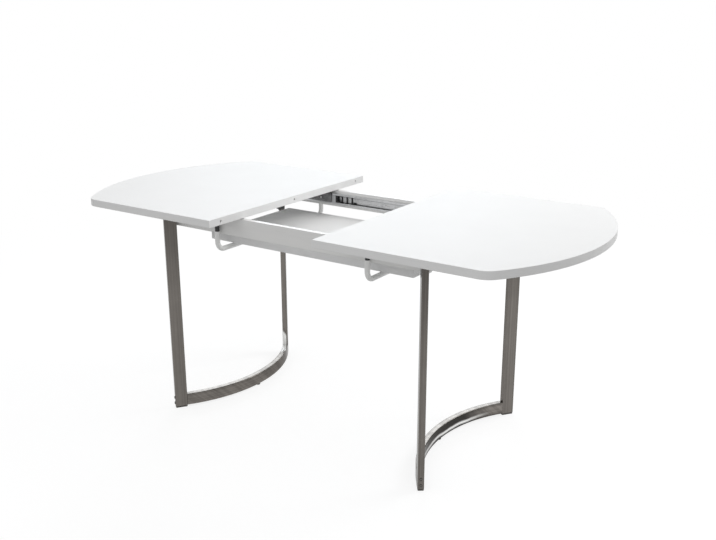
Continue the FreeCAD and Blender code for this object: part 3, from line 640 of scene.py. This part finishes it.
leg_low, leg_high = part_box("left_back_leg")
bar_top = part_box("left_base_bar")[1][2]
leg_centre = [(near + far) / 2 for near, far in zip(leg_low, leg_high)]
bar_side = (math.sin(LEG_TURN), -math.cos(LEG_TURN), 0)
across_joint = (math.cos(LEG_TURN), math.sin(LEG_TURN), 0)
slanting = (HIGHLIGHT_SLANT * across_joint[0], HIGHLIGHT_SLANT * across_joint[1], 1)
leg_corner = (leg_centre[0], leg_centre[1], bar_top + HIGHLIGHT_HEIGHT)
bar_corner = [centre + HIGHLIGHT_LENGTH * step for centre, step in zip(leg_centre, bar_side)]
leg_painted_shade = painted_leg_shade(leg_low[2], leg_high[2])
joint_painted_light = painted_joint_highlight(leg_painted_shade, leg_corner, slanting, bar_side, across_joint)
leg_steel = polished_tube("polished tube upright", upright, LEG_BANDS, LEG_PATCHES, leg_painted_shade)
# The back left leg takes the painted highlight of its joint.
highlighted_joint_steel = polished_tube("polished tube with painted highlight", upright, LEG_BANDS, LEG_PATCHES, joint_painted_light)
for side, towards_end in (("left", -1), ("right", 1)):
    low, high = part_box(f"{side}_base_bar")
    outer_radius = high[1] / math.sin(LEG_TURN)
    nearest_middle = high[0] if side == "left" else low[0]
    centre_x = nearest_middle + towards_end * outer_radius
    bar_recolour = painted_hollow_reflection(centre_x, low[2], high[2])
    if side == "left":
        bar_recolour = painted_joint_highlight(bar_recolour, bar_corner, bar_side, UPWARD, across_joint)
    finishes[f"{side}_base_bar"] = polished_tube(
        f"polished tube {side} arc", along_arc(centre_x, outer_radius), BAR_BANDS, BAR_PATCHES, bar_recolour)
    for row in ("front", "back"):
        finishes[f"{side}_{row}_leg"] = leg_steel
    print(side, "bar's arc: centre at", round(centre_x, 4), "radius", round(outer_radius, 4))
finishes["left_back_leg"] = highlighted_joint_steel

# %% [markdown]
# ## Zinc-plated steel
# Channels, runners, angles, ties and plates are pressed from zinc-plated sheet.
# The plating is pale and cloudy, with small crystals, and the rolls leave faint lines along the strip.
# Painted shade in the hollows darkens the angles close under the top most, the channels over a narrow reach,
# and the other pieces mildly.

# %% Zinc-plated steel
ZINC_LIGHT = (0.75, 0.755, 0.765, 1)
ZINC_DARK = (0.64, 0.645, 0.655, 1)
ZINC_RUBBED = grey(0.72)
ZINC_ROUGHNESS = (0.27, 0.40)
ALONG_STRIP = (0.02, 1.0, 1.0)
ROLL_STRENGTH, ROLL_DEPTH = 0.12, 0.05 * MM
CRYSTALS = {"Scale": 340, "Randomness": 1.0}
ZINC_CLOUDS = {"Scale": 24, "Contrast": 0.30}
ZINC_RUBS = {"Reach": 0.6 * MM, "Breakup": 90}
ZINC_RUB_SHARE = 0.5
# Painted shade in hollows: deep on the angles, narrow on the channels, mild on the rest.
DEEP_PAINTED_SHADE = {"Reach": 80 * MM, "Closed": 0.70, "Open": 0.82, "Darkest": 0.03}
NARROW_PAINTED_SHADE = {"Reach": 14 * MM, "Closed": 0.40, "Open": 0.75, "Darkest": 0.35}
MILD_PAINTED_SHADE = {"Reach": 55 * MM, "Closed": 0.50, "Open": 0.95, "Darkest": 0.40}


def zinc_steel(name, recess_shade_settings):
    finish, tree, shader = new_finish(name, Metallic=1.0)
    place = object_coordinates(tree)
    along_strip = vector_maths(tree, "MULTIPLY", place, ALONG_STRIP)
    rolled = use_group(tree, brush_group, Stretched=along_strip)["Lines"]
    crystals = add(tree, "ShaderNodeTexVoronoi", {"Vector": place, **CRYSTALS}).outputs["Color"]
    shine = add(tree, "ShaderNodeSeparateColor", {0: crystals}).outputs[0]
    clouds = use_group(tree, mottle_group, Vector=place, **ZINC_CLOUDS)["Shade"]
    plating = mix_colours(tree, shine, ZINC_DARK, ZINC_LIGHT)
    # Painted shade, darker where the surface is closed in by others.
    hollow_shade = use_group(tree, recess_shade_group, **recess_shade_settings)["Shade"]
    shadowed_plating = shaded(tree, shaded(tree, plating, clouds), hollow_shade)
    edge = use_group(tree, rub_group, Vector=place, **ZINC_RUBS)["Mask"]
    colour = mix_colours(tree, maths(tree, "MULTIPLY", edge, ZINC_RUB_SHARE), shadowed_plating, ZINC_RUBBED)
    roughness = maths(tree, "MULTIPLY", spread(tree, rolled, *ZINC_ROUGHNESS), clouds)
    link_surface(tree, shader, colour, roughness, rolled, ROLL_STRENGTH, ROLL_DEPTH)
    return finish


finishes["zinc_steel"] = zinc_steel("zinc plated steel", MILD_PAINTED_SHADE)
narrow_shaded_zinc = zinc_steel("zinc plated channel", NARROW_PAINTED_SHADE)
deep_shaded_zinc = zinc_steel("zinc plated angle", DEEP_PAINTED_SHADE)
for row in ("front", "back"):
    finishes[f"{row}_channel"] = narrow_shaded_zinc
    for side in ("left", "right"):
        finishes[f"{side}_{row}_angle"] = deep_shaded_zinc
print("made", finishes["zinc_steel"].name, "in three states")

# %% [markdown]
# ## White powder coat
# The hangers are bent tube with a white powder coat, baked on.
# As the powder melts it pulls into a skin like orange peel, which a soft noise bump gives.

# %% White powder coat
COAT_WHITE = (0.935, 0.935, 0.922, 1)
COAT_SHINE, COAT_ROUGHNESS = 0.5, (0.22, 0.34)
COAT_CLOUDS = {"Scale": 30, "Contrast": 0.05}
COAT_DUST, DUST_ON_COAT = 0.10, grey(0.5)
PEEL_PER_METRE, PEEL_DETAIL, PEEL_ROUGHNESS = 620, 1, 0.4
PEEL_STRENGTH, PEEL_DEPTH = 0.22, 0.15 * MM


def powder_coat():
    finish, tree, shader = new_finish("white powder coat", Specular_IOR_Level=COAT_SHINE)
    place = object_coordinates(tree)
    peel = noise(tree, place, PEEL_PER_METRE, PEEL_DETAIL, PEEL_ROUGHNESS)
    mottle = use_group(tree, mottle_group, Vector=place, **COAT_CLOUDS)["Shade"]
    dust = use_group(tree, dust_group, Vector=place, Amount=COAT_DUST)["Mask"]
    colour = mix_colours(tree, dust, shaded(tree, COAT_WHITE, mottle), DUST_ON_COAT)
    roughness = spread(tree, peel, *COAT_ROUGHNESS)
    link_surface(tree, shader, colour, roughness, peel, PEEL_STRENGTH, PEEL_DEPTH)
    return finish


finishes["white_tube"] = powder_coat()
print("made", finishes["white_tube"].name)

# %% [markdown]
# ## Black plastic
# Plugs, cages, bumpers, the latch and the feet are moulded plastic.
# The mould was eroded, so the skin is finely pebbled, and it turns grey where it is rubbed.
# The feet are a softer, browner kind, and carry dust from the floor.

# %% Black plastic
BLACK = {"tint": (0.018, 0.018, 0.019, 1), "rubbed_tint": grey(0.07), "dustiness": 0.2}
BROWN = {"tint": (0.080, 0.071, 0.062, 1), "rubbed_tint": (0.13, 0.12, 0.11, 1), "dustiness": 0.35}
DUST_ON_PLASTIC = (0.32, 0.31, 0.29, 1)
PLASTIC_SHINE, PLASTIC_ROUGHNESS = 0.45, (0.40, 0.56)
PLASTIC_CLOUDS = {"Scale": 55, "Contrast": 0.5}
PLASTIC_RUBS = {"Reach": 0.7 * MM, "Breakup": 120}
PLASTIC_RUB_SHARE = 0.6
PEBBLES_PER_METRE, PEBBLE_DETAIL, PEBBLE_ROUGHNESS = 2300, 2, 0.6
PEBBLE_STRENGTH, PEBBLE_DEPTH = 0.25, 0.08 * MM


def moulded_plastic(name, tint, rubbed_tint, dustiness):
    finish, tree, shader = new_finish(name, Specular_IOR_Level=PLASTIC_SHINE)
    place = object_coordinates(tree)
    pebble = noise(tree, place, PEBBLES_PER_METRE, PEBBLE_DETAIL, PEBBLE_ROUGHNESS)
    mottle = use_group(tree, mottle_group, Vector=place, **PLASTIC_CLOUDS)["Shade"]
    skin = shaded(tree, tint, mottle)
    edge = use_group(tree, rub_group, Vector=place, **PLASTIC_RUBS)["Mask"]
    rubbed = mix_colours(tree, maths(tree, "MULTIPLY", edge, PLASTIC_RUB_SHARE), skin, rubbed_tint)
    dust = use_group(tree, dust_group, Vector=place, Amount=dustiness)["Mask"]
    colour = mix_colours(tree, dust, rubbed, DUST_ON_PLASTIC)
    roughness = spread(tree, pebble, *PLASTIC_ROUGHNESS)
    link_surface(tree, shader, colour, roughness, pebble, PEBBLE_STRENGTH, PEBBLE_DEPTH)
    return finish


finishes["black_plastic"] = moulded_plastic("black plastic", **BLACK)
foot_plastic = moulded_plastic("foot plastic", **BROWN)
for side in ("left", "right"):
    finishes[f"{side}_glides"] = foot_plastic
print("made", finishes["black_plastic"].name, "and", foot_plastic.name)

# %% [markdown]
# ## Bright steel and bearing steel
# Screws and pins are plated bright, with small scuffs from the driver.
# The frame bolts are dark, like the tube that they hold.
# The balls are ground and polished, the smoothest surface on the table, under a thin film of grease.

# %% Bright steel and bearing steel
BRIGHT = ((0.70, 0.70, 0.705, 1), (0.52, 0.52, 0.53, 1), (0.20, 0.36), 0.04 * MM)
BEARING = ((0.78, 0.78, 0.79, 1), (0.68, 0.68, 0.70, 1), (0.05, 0.12), 0.01 * MM)
DARK_BOLT = ((0.16, 0.15, 0.14, 1), (0.09, 0.085, 0.08, 1), (0.18, 0.32), 0.03 * MM)
SCUFFS_PER_METRE, SCUFF_DETAIL, SCUFF_ROUGHNESS = 950, 6, 0.75
SCUFF_TONE_FROM, SCUFF_TONE_TO, SCUFF_STRENGTH = 0.35, 0.65, 0.15
PLATED_CLOUDS = {"Scale": 160, "Contrast": 0.35}


def plated_steel(name, light, dark, roughness, scuff_depth):
    finish, tree, shader = new_finish(name, Metallic=1.0)
    place = object_coordinates(tree)
    scuffs = noise(tree, place, SCUFFS_PER_METRE, SCUFF_DETAIL, SCUFF_ROUGHNESS)
    clouds = use_group(tree, mottle_group, Vector=place, **PLATED_CLOUDS)["Shade"]
    plating = mix_colours(tree, remap(tree, scuffs, SCUFF_TONE_FROM, SCUFF_TONE_TO, 0, 1), dark, light)
    colour = shaded(tree, plating, clouds)
    link_surface(tree, shader, colour, spread(tree, scuffs, *roughness), scuffs, SCUFF_STRENGTH, scuff_depth)
    return finish


finishes["bright_steel"] = plated_steel("bright steel", *BRIGHT)
finishes["bearing_steel"] = plated_steel("bearing steel", *BEARING)
bolt_steel = plated_steel("dark bolt steel", *DARK_BOLT)
for side in ("left", "right"):
    finishes[f"{side}_frame_bolts"] = bolt_steel
print("made", finishes["bright_steel"].name, "and", finishes["bearing_steel"].name)

# %% [markdown]
# ## Finishes on the pieces
# A piece takes the finish under its own name where it has one, and else the one of its kind of material.

# %% Finishes on the pieces
for node, piece in nodes.items():
    finish = finishes.get(node) or finishes[slot_of[node]]
    for material_slot in piece.material_slots:
        material_slot.material = finish
print("finished:", len(nodes), "pieces with", len(set(finishes.values())), "finishes")

# %% [markdown]
# ## Measuring the fittings
# A node can hold many screws as loose solids, so its mesh is first split where nothing joins it.
# A turned piece has its rings of points round one axis, which the singular value decomposition finds.
# The end with the wider ring is the head. Place, axis, length and head radius are all that a copy needs.

# %% Measuring the fittings
WELD = 0.001 * MM
HEAD_RING_SHARE = 0.9


def loose_solids(node):
    """Corner points of each loose solid in a node."""
    mesh = bmesh.new()
    mesh.from_mesh(nodes[node].data)
    bmesh.ops.remove_doubles(mesh, verts=mesh.verts, dist=WELD)
    waiting = set(mesh.verts)
    solids = []
    for start in mesh.verts:
        if start not in waiting:
            continue
        waiting.remove(start)
        queue = [start]
        points = []
        while queue:
            corner = queue.pop()
            points.append(corner.co[:])
            joined = {edge.other_vert(corner) for edge in corner.link_edges} & waiting
            waiting -= joined
            queue.extend(joined)
        solids.append(np.array(points))
    mesh.free()
    return solids


def measure(points):
    """Middle of a fastener's head face, the way to its tip, and its length and head radius in mm."""
    middle = points.mean(axis=0)
    axis = np.linalg.svd(points - middle, full_matrices=False)[2][0]
    along = (points - middle) @ axis
    out = np.linalg.norm(points - middle - np.outer(along, axis), axis=1)
    if along[out > HEAD_RING_SHARE * out.max()].mean() > 0:
        axis, along = -axis, -along
    return Vector(middle + along.min() * axis), Vector(axis), np.ptp(along) / MM, out.max() / MM


print("screws under the left half:", len(loose_solids("left_screws")))

# %% [markdown]
# ## Tools of the bench
# Small pieces are modelled at one unit to the millimetre, upright, with the face of the head at the origin.
# One helper picks faces or edges by a test, and the edit-mode operators then work on what is picked.
# Another scales the copies to metres, sets each in its place with its own mesh, and joins those of one node.

# %% Tools of the bench
SMOOTH_ANGLE = math.radians(35)
COPY_SPIN = math.radians(137.5)
FACING_SHARE, ROUND_PROFILE, TURNED_SIDES = 0.5, 0.5, 32


def pick(kind, test):
    """Select the faces or edges in edit mode that pass a test."""
    bpy.ops.mesh.select_mode(type=kind)
    bpy.ops.mesh.select_all(action="DESELECT")
    mesh = bmesh.from_edit_mesh(bpy.context.object.data)
    mesh.normal_update()
    for part in (mesh.faces if kind == "FACE" else mesh.edges):
        if test(part):
            part.select_set(True)
    bmesh.update_edit_mesh(bpy.context.object.data)


def faces_up(face):
    return face.normal.z > FACING_SHARE


def faces_down(face):
    return face.normal.z < -FACING_SHARE


def at_height(height):
    """Test for an edge that lies level at a height."""
    return lambda edge: all(math.isclose(corner.co.z, height, abs_tol=WELD) for corner in edge.verts)


def new_blank(name, width, depth, height):
    """The primitive just added, at unit size, scaled to stand on the origin, and open in edit mode."""
    blank = bpy.context.object
    blank.name = name
    blank.scale = (width, depth, height)
    blank.location.z = height / 2
    bpy.ops.object.transform_apply(location=True, rotation=True, scale=True)
    bpy.ops.object.mode_set(mode="EDIT")
    return blank


def turned_blank(name, radius, height, sides=TURNED_SIDES):
    bpy.ops.object.select_all(action="DESELECT")
    bpy.ops.mesh.primitive_cylinder_add(vertices=sides, radius=1, depth=1)
    return new_blank(name, radius, radius, height)


def sawn_blank(name, width, depth, height):
    bpy.ops.object.select_all(action="DESELECT")
    bpy.ops.mesh.primitive_cube_add(size=1)
    return new_blank(name, width, depth, height)


def pull(height, end_scale=1):
    """Extrude what is picked upwards, and narrow its end."""
    bpy.ops.mesh.extrude_region_move(TRANSFORM_OT_translate={"value": (0, 0, height)})
    bpy.ops.transform.resize(value=(end_scale, end_scale, 1), center_override=(0, 0, 0))


def carve(blank, cutter):
    """Cut a blank with another piece, which is used up."""
    bpy.ops.object.select_all(action="DESELECT")
    bpy.context.view_layer.objects.active = blank
    blank.select_set(True)
    cut = blank.modifiers.new("carve", "BOOLEAN")
    cut.operation = "DIFFERENCE"
    cut.object = cutter
    bpy.ops.object.modifier_apply(modifier=cut.name)
    bpy.data.objects.remove(cutter)


def set_in_place(node, models, places):
    """Copies of models at their places, joined to one piece that stands for a node."""
    copies = []
    for model, place in zip(models, places):
        copy = model.copy()
        copy.data = model.data.copy()
        bpy.context.collection.objects.link(copy)
        copy.matrix_world = place @ Matrix.Scale(MM, 4)
        copies.append(copy)
    bpy.context.view_layer.update()
    bpy.ops.object.select_all(action="DESELECT")
    for copy in copies:
        copy.select_set(True)
    bpy.context.view_layer.objects.active = copies[0]
    if len(copies) > 1:
        bpy.ops.object.join()
    piece = bpy.context.object
    bpy.ops.object.transform_apply(location=True, rotation=True, scale=True)
    bpy.ops.object.shade_smooth_by_angle(angle=SMOOTH_ANGLE)
    piece.name = f"{node}_fitting"
    piece.data.materials.append(finishes.get(node) or finishes[slot_of[node]])
    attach(piece, body_of[node])
    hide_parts(node)
    return piece


def fasten(node, make):
    """Model each size of fastener in a node once, and set a copy at each place."""
    made, models, places = {}, [], []
    for number, points in enumerate(loose_solids(node)):
        place, way, length, radius = measure(points)
        size = (round(length, 1), round(radius, 1))
        if size not in made:
            made[size] = make(*size)
        models.append(made[size])
        turned = way.to_track_quat("Z", "Y").to_matrix().to_4x4()
        places.append(Matrix.Translation(place) @ turned @ Matrix.Rotation(number * COPY_SPIN, 4, "Z"))
    piece = set_in_place(node, models, places)
    for model in made.values():
        bpy.data.objects.remove(model)
    faces = len(piece.data.polygons)
    print(node, "has", len(places), "pieces in sizes", sorted(made), "and", faces, "faces")


print("bench ready, copies turned by", round(math.degrees(COPY_SPIN), 1), "degrees each")

# %% [markdown]
# ## Screws
# A pan-head screw starts as a short cylinder, the head.
# Its inner face is inset to the shank and pulled out to a point, its outer rim is bevelled into a dome.
# A cross that was pulled out of a small cube cuts the recess for the driver.

# %% Screws
SCREW_HEAD_SHARE, SCREW_SHANK_SHARE, SCREW_POINT_SHARE = 0.55, 0.5, 0.2
DOME_SHARE, SCREW_DOME_STEPS = 0.75, 5
RECESS_REACH_SHARE, RECESS_WIDTH_SHARE, RECESS_DEPTH_SHARE = 0.42, 0.22, 0.35


def cross_cutter(radius):
    width = RECESS_WIDTH_SHARE * radius
    depth = RECESS_DEPTH_SHARE * radius
    cutter = sawn_blank("cross cutter", width, width, depth)
    pick("FACE", lambda face: abs(face.normal.z) < FACING_SHARE)
    reach = RECESS_REACH_SHARE * radius
    bpy.ops.mesh.extrude_faces_move(TRANSFORM_OT_shrink_fatten={"value": reach})
    pick("FACE", faces_down)
    pull(-depth)
    bpy.ops.object.mode_set(mode="OBJECT")
    return cutter


def pan_head_screw(length, radius):
    head = SCREW_HEAD_SHARE * radius
    shank = SCREW_SHANK_SHARE * radius
    screw = turned_blank("screw", radius, head)
    pick("FACE", faces_up)
    bpy.ops.mesh.inset(thickness=radius - shank)
    pull(length - head - shank)
    pull(shank, SCREW_POINT_SHARE)
    pick("EDGE", at_height(0))
    bpy.ops.mesh.bevel(offset=DOME_SHARE * head, segments=SCREW_DOME_STEPS, profile=ROUND_PROFILE)
    bpy.ops.object.mode_set(mode="OBJECT")
    carve(screw, cross_cutter(radius))
    return screw


for node in ("left_screws", "right_screws", "tie_screws", "channel_screws"):
    fasten(node, pan_head_screw)

# %% [markdown]
# ## Frame bolts
# Two bolts with low round heads hold each leg to the end of its base bar.
# The head is domed like the screw's, and a six-sided cutter leaves the socket for a key.

# %% Frame bolts
BOLT_HEAD_SHARE, BOLT_SHANK_SHARE = 0.6, 0.6
KEY_RADIUS_SHARE, KEY_DEPTH_SHARE = 0.46, 0.36
BOLT_DOME_STEPS, KEY_SIDES = 6, 6


def button_head_bolt(length, radius):
    head = BOLT_HEAD_SHARE * radius
    bolt = turned_blank("bolt", radius, head)
    pick("FACE", faces_up)
    bpy.ops.mesh.inset(thickness=radius - BOLT_SHANK_SHARE * radius)
    pull(length - head)
    pick("EDGE", at_height(0))
    bpy.ops.mesh.bevel(offset=DOME_SHARE * head, segments=BOLT_DOME_STEPS, profile=ROUND_PROFILE)
    bpy.ops.object.mode_set(mode="OBJECT")
    depth = KEY_DEPTH_SHARE * radius
    key = turned_blank("key cutter", KEY_RADIUS_SHARE * radius, depth, KEY_SIDES)
    pick("FACE", faces_down)
    pull(-depth)
    bpy.ops.object.mode_set(mode="OBJECT")
    carve(bolt, key)
    return bolt


for side in ("left", "right"):
    fasten(f"{side}_frame_bolts", button_head_bolt)

# %% [markdown]
# ## Dowel pins
# The pins line up the edges when the table is closed or a board is set in.
# A cylinder of many sides is grooved by insetting every third side inwards.
# Both ends are bevelled to lead in.

# %% Dowel pins
PIN_SIDES, PIN_GROOVE_EVERY, LEAD_IN_STEPS = 36, 3, 3
GROOVE_RIM_SHARE, GROOVE_DEPTH_SHARE, LEAD_IN_SHARE = 0.03, 0.06, 0.2


def fluted_pin(length, radius):
    pin = turned_blank("pin", radius, length, PIN_SIDES)
    one_side = 2 * math.pi / PIN_SIDES

    def grooved(face):
        side = math.atan2(face.normal.y, face.normal.x) / one_side
        return abs(face.normal.z) < WELD and math.floor(side) % PIN_GROOVE_EVERY == 0

    pick("EDGE", lambda edge: at_height(0)(edge) or at_height(length)(edge))
    bpy.ops.mesh.bevel(offset=LEAD_IN_SHARE * radius, segments=LEAD_IN_STEPS, profile=ROUND_PROFILE)
    pick("FACE", grooved)
    rim = GROOVE_RIM_SHARE * radius
    depth = GROOVE_DEPTH_SHARE * radius
    bpy.ops.mesh.inset(thickness=rim, depth=-depth, use_individual=True)
    bpy.ops.object.mode_set(mode="OBJECT")
    return pin


for node in ("right_dowel_pins", "left_leaf_pin", "right_leaf_pin"):
    fasten(node, fluted_pin)

# %% [markdown]
# ## Feet
# A plastic foot closes the end of each leg, and a round one stands under the middle of each base bar.
# Both are blanks with softened lower edges, a hollowed sole, and a plug that is pulled up into the steel.

# %% Feet
TUBE_WIDTH, TUBE_DEPTH, TUBE_WALL = 42, 20, 1.5
FOOT_INSET, FOOT_CORNER, FOOT_EDGE = 0.5, 3, 0.9
CORNER_STEPS, EDGE_STEPS, FLAT_SHARE = 4, 3, 0.99
SOLE_RIM, SOLE_SLOPE, SOLE_HOLLOW = 1.6, 0.3, 1.5
STEM_RADIUS = 3
LEG_HEADING = math.pi / 2 - LEG_TURN


def finish_foot(foot, rim, plug_height):
    """Plug, softened edge and hollow sole of a foot that is open in edit mode."""
    pick("FACE", faces_up)
    bpy.ops.mesh.inset(thickness=rim)
    pull(plug_height)
    pick("EDGE", at_height(0))
    bpy.ops.mesh.bevel(offset=FOOT_EDGE, segments=EDGE_STEPS, profile=ROUND_PROFILE)
    pick("FACE", lambda face: face.normal.z < -FLAT_SHARE)
    bpy.ops.mesh.inset(thickness=SOLE_RIM)
    bpy.ops.mesh.inset(thickness=SOLE_SLOPE, depth=-SOLE_HOLLOW)
    bpy.ops.object.mode_set(mode="OBJECT")
    return foot


def leg_foot(height, plug_height):
    foot = sawn_blank("leg foot", TUBE_WIDTH - 2 * FOOT_INSET, TUBE_DEPTH - 2 * FOOT_INSET, height)
    pick("EDGE", lambda edge: abs(edge.verts[0].co.z - edge.verts[1].co.z) > WELD)
    bpy.ops.mesh.bevel(offset=FOOT_CORNER, segments=CORNER_STEPS)
    return finish_foot(foot, TUBE_WALL, plug_height)


def round_foot(height, radius, plug_height):
    foot = turned_blank("round foot", radius, height)
    return finish_foot(foot, radius - STEM_RADIUS, plug_height)


for side in ("left", "right"):
    node = f"{side}_glides"
    foot_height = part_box(f"{side}_front_leg")[0][2] / MM
    models, places = [], []
    for points in loose_solids(node):
        low, high = points.min(axis=0), points.max(axis=0)
        span = (high - low) / MM
        middle = (low + high) / 2
        is_round = math.isclose(span[0], span[1], abs_tol=FOOT_INSET)
        if is_round:
            models.append(round_foot(foot_height, span[0] / 2, span[2] - foot_height))
        else:
            models.append(leg_foot(foot_height, span[2] - foot_height))
        heading = math.copysign(LEG_HEADING, middle[0] * middle[1])
        standing = Matrix.Translation((middle[0], middle[1], low[2]))
        places.append(standing @ Matrix.Rotation(heading, 4, "Z"))
    piece = set_in_place(node, models, places)
    for model in models:
        bpy.data.objects.remove(model)
    print(node, "has", len(places), "feet and", len(piece.data.polygons), "faces")
